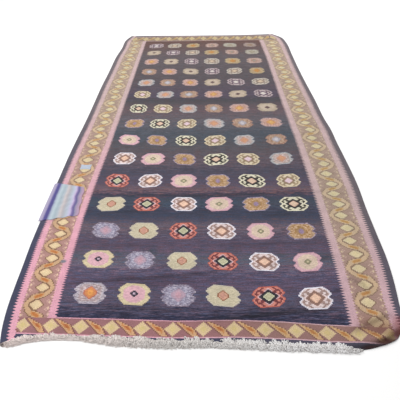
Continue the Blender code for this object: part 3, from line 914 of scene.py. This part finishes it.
yarn_z = yarn_z * np.clip(0.75 + 1.5 * step, 0.0, 1.0) + np.abs(wave) * 0.5 * step
yarn_plan = root + out * yarn_out[..., None] + aside * yarn_aside[..., None]
yarns = carried_yarns(
    "fringe_yarns",
    np.concatenate([yarn_plan, yarn_z[..., None]], axis=-1) + plan_shift,
    YARN_RADIUS * random.uniform(0.7, 1.2, (YARNS, 1)) * (1 - 0.7 * step**3),
)

# Tufts: yarns that start together and fan out in loops over the end of the cloth
tuft_x = np.sort(random.uniform(FRINGE_FROM + 0.03, FRINGE_TO - 0.05, TUFTS))
tuft_rise = random.uniform(0.004, 0.021, TUFTS) * np.clip(0.75 + 0.4 * (tuft_x > -0.25), 0.0, 1.2)
count = TUFTS * TUFT_YARNS
middle, rise = np.repeat(tuft_x, TUFT_YARNS)[:, None], np.repeat(tuft_rise, TUFT_YARNS)[:, None]
fan = random.normal(0.0, 0.6, (count, 1))
tuft_yarn_x = middle + 0.010 * fan
step = np.linspace(0.0, 1.0, TUFT_STEPS)[None, :]
root, out, aside = near_edge_at(tuft_yarn_x)
reached = rise * random.uniform(0.5, 1.15, (count, 1)) * np.exp(-0.5 * fan**2)
bend = np.sin(0.72 * np.pi * step) / np.sin(0.72 * np.pi * 0.69)
curl_out = 0.008 - (0.008 + reached) * np.clip(bend, 0.0, 1.0)
curl_aside = (0.010 * fan + random.normal(0.0, 0.005, (count, 1))) * step
curl_aside = curl_aside + 0.0016 * np.sin(random.uniform(4.0, 10.0, (count, 1)) * step)
curl_plan = root + out * curl_out[..., None] + aside * curl_aside[..., None]
curl_z = CLOTH_THICK + 0.0018 + 0.0050 * np.sin(np.pi * step) ** 0.7 * random.uniform(0.2, 1.0, (count, 1))
tufts = carried_yarns(
    "fringe_tufts",
    np.concatenate([curl_plan, curl_z[..., None]], axis=-1) + plan_shift,
    np.full((count, TUFT_STEPS), 0.0021) * random.uniform(0.7, 1.2, (count, 1)),
)

# Felted warp: undyed wool, painted whitest on the crests of its bump and grey in its hollows: painted light
# and shade over the wool's own uneven tone. Its shading runs along the fringe, in locks about 25 mm by 10 mm.
# Along the fringe: x, tint
FELT_TINTS = (
    (-0.80, "#7d7072"), (-0.762, "#9a8d8e"), (-0.748, "#fff2ee"), (-0.42, "#fbf2ee"),
    (-0.10, "#f2efec"), (0.12, "#f8f6f4"), (0.30, "#ffffff"), (0.62, "#ffffff"),
)


def felt_finish(name, dark, half, pale, worn=False):
    """Felted or loose warp: three tones over the noise of the locks, tinted along it. The same noise lifts
    its bump, so the tones are painted light and shade. Worn felt is painted grey between its two rims, on its
    outer slope: painted shade."""
    felt, tree, surface = new_finish(name, 0.95, 0.15)
    place = add(tree, "TexCoord", out=3)
    locks = add(tree, "TexNoise", add(tree, "Mapping", place, None, None, (38.0, 95.0, 38.0)), None, 1.0, 3.0)
    strands = add(tree, "TexNoise", place, None, 190.0, 2.0)
    shade = add(tree, "Math", strands, 0.35, add(tree, "Math", locks, 0.65, operation="MULTIPLY"),
                operation="MULTIPLY_ADD")
    # Painted light and shade: the same noise lifts the bump, so the crests are paler and the hollows darker
    toned = add(tree, "ValToRGB", shade)
    set_stops(tree, [(0.40, to_linear(dark)), (0.48, to_linear(half)), (0.56, to_linear(pale))], "LINEAR")
    along = add(tree, "SeparateXYZ", place)
    along = add(tree, "MapRange", along, FELT_TINTS[0][0] + plan_shift[0], FELT_TINTS[-1][0] + plan_shift[0],
                0.0, 1.0)
    tint = add(tree, "ValToRGB", along)
    span = FELT_TINTS[-1][0] - FELT_TINTS[0][0]
    set_stops(tree, [((x - FELT_TINTS[0][0]) / span, to_linear(c)) for x, c in FELT_TINTS], "LINEAR")
    colour = add(tree, "Mix", 1.0, toned, tint, data_type="RGBA", blend_type="MULTIPLY")
    if worn:
        # Painted shade: the mat is darker between its two rims, on its outer slope away from the light
        across = add(tree, "SeparateXYZ", add(tree, "UVMap", uv_map="mat"), out=1)
        outer_slope_shade = add(tree, "ValToRGB", across)
        set_stops(tree, [(0.20, (1.12,) * 3 + (1.0,)), (0.38, (0.84,) * 3 + (1.0,)),
                         (0.72, (0.80,) * 3 + (1.0,)), (1.0, (1.1,) * 3 + (1.0,))], "LINEAR")
        colour = add(tree, "VectorMath", colour, outer_slope_shade, operation="MULTIPLY")
    tree.links.new(colour, surface.inputs["Base Color"])
    tree.links.new(add(tree, "Bump", 0.7, 0.0012, None, shade), surface.inputs["Normal"])
    return felt


# The felted mat, with painted shade on its outer slope
mat.data.materials.append(felt_finish("felted_warp_ends", "#57504e", "#aea8a4", "#f6f3f0", worn=True))
loose = felt_finish("loose_warp_yarns", "#8f8783", "#efebe8", "#ffffff")
for piece in (yarns, tufts):
    piece.data.materials.append(loose)
for piece in (mat, yarns, tufts):
    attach(piece, "root")
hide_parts("near_fringe")

# The repair patch
# A worn striped cotton cloth sewn over a torn selvedge with long stitches. It laps over
# the rug's edge, and has slackened into low ripples between its seams.
PATCH_THICK, PATCH_GAP = 0.0012, 0.0004
PATCH_NEAR_Y, PATCH_FAR_Y = (0.480, 0.524), (0.812, 0.774)
PATCH_INNER_X = (-0.645, -0.662)
# Distance in from the rug's edge, share of the way to the inner side, height
PATCH_LAP = ((-0.013, 0.0, 0.0004), (-0.011, 0.0, 0.0016), (-0.005, 0.0, 0.0042),
             (0.002, 0.0, 0.0050), (0.008, 0.0, 0.0048))
PATCH_COLUMNS, PATCH_ROWS = 44, 70


def patch_surface(u, v):
    """The lap's section for the first tenth of u, then level to the inner side, with
    low ripples. v runs along the rug."""
    lap = np.array(PATCH_LAP)
    at = np.clip(u / 0.1, 0.0, 1.0) * (len(lap) - 1)
    inward = np.interp(at, np.arange(len(lap)), lap[:, 0])
    rise = np.interp(at, np.arange(len(lap)), lap[:, 2])
    inner = np.clip((u - 0.1) / 0.9, 0.0, 1.0)
    near_y = PATCH_NEAR_Y[0] + (PATCH_NEAR_Y[1] - PATCH_NEAR_Y[0]) * inner
    far_y = PATCH_FAR_Y[0] + (PATCH_FAR_Y[1] - PATCH_FAR_Y[0]) * inner
    near_y = near_y + 0.004 * np.sin(19.0 * inner)
    y = near_y + (far_y - near_y) * v
    edge_x = side_at(LEFT_EDGE, y)
    inner_x = PATCH_INNER_X[0] + (PATCH_INNER_X[1] - PATCH_INNER_X[0]) * v + 0.003 * np.sin(17.0 * v)
    x = edge_x + inward + inner * (inner_x - edge_x - inward)
    slack = np.sin(np.pi * inner) * np.sin(np.pi * v) * np.clip(inner * 8, 0.0, 1.0)
    ripple = 0.0011 * (1 + np.sin(38.0 * v + 3.0 * np.sin(6.0 * inner))) + 0.0008 * (
        1 + np.sin(21.0 * inner + 5.0 * v))
    ground = CLOTH_THICK + PATCH_GAP + PATCH_THICK
    lift = cloth_lift(np.stack([x, y], axis=-1)) * np.clip(inner * 20, 0.0, 1.0)
    z = np.where(u < 0.1, rise, ground + 0.0002) + lift + ripple * slack
    return np.stack([x, y, z], axis=-1)


u, v = np.meshgrid(np.linspace(0.0, 1.0, PATCH_COLUMNS + 1), np.linspace(0.0, 1.0, PATCH_ROWS + 1))
repair = new_piece(
    "repair_cloth", patch_surface(u, v) + plan_shift, grid_faces(PATCH_ROWS + 1, PATCH_COLUMNS + 1)
)
thicken(repair, PATCH_THICK * 0.3)
give_uv(repair, "weave", np.stack([u, v], axis=-1))

# Across the patch: share, colour
PATCH_STRIPES = (
    (0.00, "#a39cb0"), (0.09, "#9b92ad"), (0.12, "#4e4884"), (0.20, "#4b467c"),
    (0.24, "#98a0b2"), (0.30, "#adbac0"), (0.38, "#98a6ae"), (0.44, "#a6aeb6"),
    (0.50, "#bcb3b2"), (0.57, "#a39fa4"), (0.64, "#a4abb4"), (0.70, "#b0b4c4"),
    (0.76, "#b9aac8"), (0.80, "#7b6c98"), (0.85, "#554f80"), (0.89, "#8d869c"),
    (0.95, "#a58ba2"), (1.00, "#b090a4"),
)
cotton, tree, surface = new_finish("worn_striped_cotton", 0.9, 0.1)
weave = add(tree, "UVMap", uv_map="weave")
place = add(tree, "TexCoord", out=3)
drift = add(tree, "TexNoise", place, None, 14.0, 2.0)
across = add(tree, "SeparateXYZ", weave)
across = add(tree, "Math", drift, 0.16, across, operation="MULTIPLY_ADD")
across = add(tree, "Math", across, 0.08, operation="SUBTRACT")
colour = add(tree, "ValToRGB", across)
set_stops(tree, [(s, to_linear(c)) for s, c in PATCH_STRIPES], "LINEAR")
worn = add(tree, "TexNoise", place, None, 60.0, 4.0)
worn = add(tree, "MapRange", worn, 0.3, 0.7, 0.78, 1.14)
colour = add(tree, "VectorMath", colour, add(tree, "CombineXYZ", worn, worn, worn), operation="MULTIPLY")
tree.links.new(colour, surface.inputs["Base Color"])
threads = add(tree, "TexNoise", place, None, 900.0, 1.0)
tree.links.new(add(tree, "Bump", 0.4, 0.0004, None, threads), surface.inputs["Normal"])
repair.data.materials.append(cotton)
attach(repair, "root")
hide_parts("repair_patch")

# The small patch
# A grey-blue square of cotton that covers a hole in the border.
SMALL_PATCH_CENTRE, SMALL_PATCH_SIZE = (-0.700, 0.985), (0.066, 0.052)


def small_patch_surface(u, v):
    """A square with sides drawn in between its corners, and a puckered middle."""
    x = SMALL_PATCH_CENTRE[0] + SMALL_PATCH_SIZE[0] * u * (0.9 + 0.4 * v**2)
    y = SMALL_PATCH_CENTRE[1] + SMALL_PATCH_SIZE[1] * v * (0.9 + 0.4 * u**2)
    pucker = 0.0009 * (0.25 - u**2) * (0.25 - v**2) * 16 * (1 + np.sin(30 * u + 17 * v))
    z = CLOTH_THICK + 0.0012 + pucker + cloth_lift(np.stack([x, y], axis=-1))
    return np.stack([x, y, z], axis=-1)


u, v = np.meshgrid(np.linspace(-0.5, 0.5, 25), np.linspace(-0.5, 0.5, 25))
little = new_piece("small_patch_cloth", small_patch_surface(u, v) + plan_shift, grid_faces(25, 25))
thicken(little, 0.0006)
grey_cotton, tree, surface = new_finish("faded_grey_cotton", 0.9, 0.1)
place = add(tree, "TexCoord", out=3)
worn = add(tree, "TexNoise", place, None, 90.0, 4.0)
colour = add(tree, "ValToRGB", worn)
set_stops(tree, [(0.3, to_linear("#8a93a6")), (0.55, to_linear("#a9b2c0")), (0.7, to_linear("#c9cbd0"))],
          "LINEAR")
tree.links.new(colour, surface.inputs["Base Color"])
tree.links.new(add(tree, "Bump", 0.4, 0.0005, None, worn), surface.inputs["Normal"])
little.data.materials.append(grey_cotton)
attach(little, "root")
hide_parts("small_patch")

# Floor and light
# A plain pale floor under a bright even sky, as on an overcast day.
FLOOR_SIZE = 30.0
floor_points = np.array([[-1, -1, 0], [1, -1, 0], [1, 1, 0], [-1, 1, 0]]) * (FLOOR_SIZE / 2)
floor = new_piece("floor", floor_points, np.array([[0, 1, 2, 3]]), smooth=False)
paint, floor_tree, floor_surface = new_finish("pale_floor_paint", 0.8, 0.0)
floor_surface.inputs["Base Color"].default_value = to_linear("#f4f3f1")
floor.data.materials.append(paint)


def area_light(name, place, target, size, watts):
    lamp = bpy.data.lights.new(name, "AREA")
    lamp.shape = "DISK"
    lamp.size = size
    lamp.energy = watts
    thing = bpy.data.objects.new(name, lamp)
    thing.location = place
    aim = np.array(target) - np.array(place)
    thing.rotation_euler = (
        math.atan2(math.hypot(aim[0], aim[1]), -aim[2]), 0.0, math.atan2(-aim[0], aim[1])
    )
    bpy.context.scene.collection.objects.link(thing)


area_light("sky_left", (-3.5, -1.0, 4.5), (0.0, 0.0, 0.0), 4.0, 220.0)
area_light("sky_far", (1.5, 4.5, 4.0), (0.0, 0.5, 0.0), 4.0, 170.0)
world = bpy.data.worlds.new("overcast")
world.use_nodes = True
world.node_tree.nodes["Background"].inputs["Color"].default_value = to_linear("#f6f7fa")
world.node_tree.nodes["Background"].inputs["Strength"].default_value = 0.65
bpy.context.scene.world = world
bpy.context.scene.view_settings.view_transform = "Standard"

# Camera
# Held 1.46 m up by someone standing a step in front of the fringed end, and tipped down
# so that the far end comes near the top of the frame.
CAMERA_HEIGHT = 1.461
CAMERA_STEP_BACK = 1.285
CAMERA_PITCH = math.radians(36.9)
FOCAL_PIXELS = 450.0
PICTURE_PIXELS = 400.0
SENSOR_MM = 36.0
MIDDLE_LINE_PIXELS = 3.0

camera_data = bpy.data.cameras.new("camera")
camera_data.sensor_width = SENSOR_MM
camera_data.lens = FOCAL_PIXELS / PICTURE_PIXELS * SENSOR_MM
camera_data.shift_x = -MIDDLE_LINE_PIXELS / PICTURE_PIXELS
camera = bpy.data.objects.new("camera", camera_data)
camera.location = (plan_shift[0], plan_shift[1] - CAMERA_STEP_BACK, CAMERA_HEIGHT)
camera.rotation_euler = (math.pi / 2 - CAMERA_PITCH, 0.0, 0.0)
bpy.context.scene.collection.objects.link(camera)
bpy.context.scene.camera = camera
